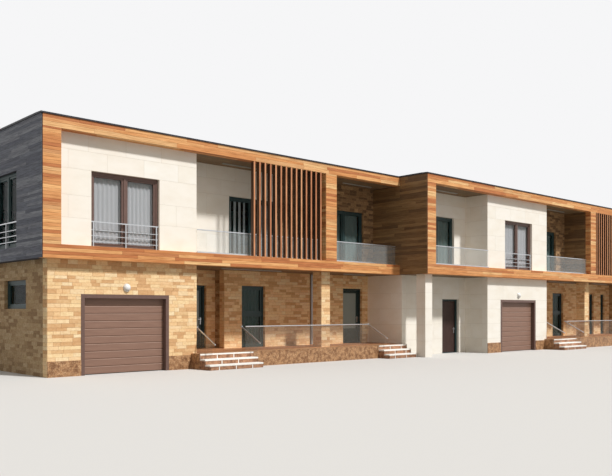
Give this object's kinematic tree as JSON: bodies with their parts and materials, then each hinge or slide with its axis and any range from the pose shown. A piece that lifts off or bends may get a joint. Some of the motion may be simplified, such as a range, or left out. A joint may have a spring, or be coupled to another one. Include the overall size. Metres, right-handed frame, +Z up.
{
  "type": "terraced house row",
  "caption": "Two-storey modern terraced house row with timber box frames, balconies, slatted screens, garages and raised porches.",
  "frame": {"origin": "on the ground, at the middle of the row's outline in plan", "axes": "+X along the street front from the left end to the right end, +Y from the street into the houses, +Z up"},
  "size_m": [35.85, 12.24, 6.6],
  "materials": {
    "timber_boards": "oiled boards",
    "dark_boards": "stained grey boards",
    "white_render": "smooth rendered slabs",
    "sand_stone": "split ashlar",
    "granite": "flamed granite",
    "concrete": "cast concrete",
    "roof_membrane": "mineral felt",
    "soffit_boards": "dark stained boards",
    "coping_metal": "matt dark coating",
    "brown_frame": "satin",
    "dark_frame": "satin",
    "garage_metal": "satin ribbed sheet",
    "clear_glass": "clear",
    "brushed_rail": "brushed",
    "lamp_body": "matt white",
    "pipe_metal": "satin grey",
    "white_tread": "honed edge on granite"
  },
  "bodies": {
    "house_row": {"stone_front_walls": "sand_stone", "upper_white_walls": "white_render", "french_window_frames": "brown_frame", "window_glass": "clear_glass", "garage_door_frames": "brown_frame", "garage_doors": "garage_metal", "wall_lamps": "lamp_body", "juliet_railings": "brushed_rail", "granite_plinths": "granite", "white_front_walls": "white_render", "stone_side_walls": "sand_stone", "white_side_walls": "white_render", "upper_side_walls": "white_render", "clad_end_walls": "dark_boards", "window_frames": "dark_frame", "door_lintels": "sand_stone", "side_door_lintel": "white_render", "niche_walls": "sand_stone", "balcony_door_frames": "dark_frame", "upper_stone_walls": "sand_stone", "flank_cladding": "timber_boards", "balcony_dividers": "timber_boards", "floor_slabs": "concrete", "roof_slabs": "roof_membrane", "boarded_ceilings": "soffit_boards", "house_floors": "concrete", "garage_floors": "concrete", "timber_beams": "timber_boards", "timber_posts": "timber_boards", "roof_upstand": "roof_membrane", "roof_copings": "coping_metal", "slat_screens": "timber_boards", "balcony_rails": "brushed_rail", "balcony_glass": "clear_glass", "porch_edges": "granite", "upper_steps": "white_tread", "lower_steps": "white_tread", "stone_pillars": "sand_stone", "white_pillar": "white_render", "porch_glass": "clear_glass", "porch_rails": "brushed_rail", "step_handrails": "brushed_rail", "downpipes": "pipe_metal", "ceiling_lights": "lamp_body", "door_jambs": "dark_frame", "door_heads_and_sills": "dark_frame", "fixed_door": "dark_frame"},
    "recess_door": {"recess_door": "dark_frame", "recess_door_glass": "clear_glass", "recess_door_handles": "brushed_rail"},
    "porch_door": {"porch_door": "dark_frame", "porch_door_glass": "clear_glass", "porch_door_handles": "brushed_rail"},
    "side_door": {"side_door": "brown_frame", "side_door_handles": "brushed_rail"}
  },
  "joints": [
    {"name": "recess_door_hinge", "type": "hinge", "parent": "house_row", "child": "recess_door", "pos_m": [-12.391, -1.681, 0], "axis": [0, 0, 1], "range_deg": [0, 90]},
    {"name": "porch_door_hinge", "type": "hinge", "parent": "house_row", "child": "porch_door", "pos_m": [-5.523, -2.181, 0], "axis": [0, 0, 1], "range_deg": [0, 90]},
    {"name": "side_door_hinge", "type": "hinge", "parent": "house_row", "child": "side_door", "pos_m": [-1.741, -3.891, 0], "axis": [0, 0, 1], "range_deg": [0, 90]}
  ]
}
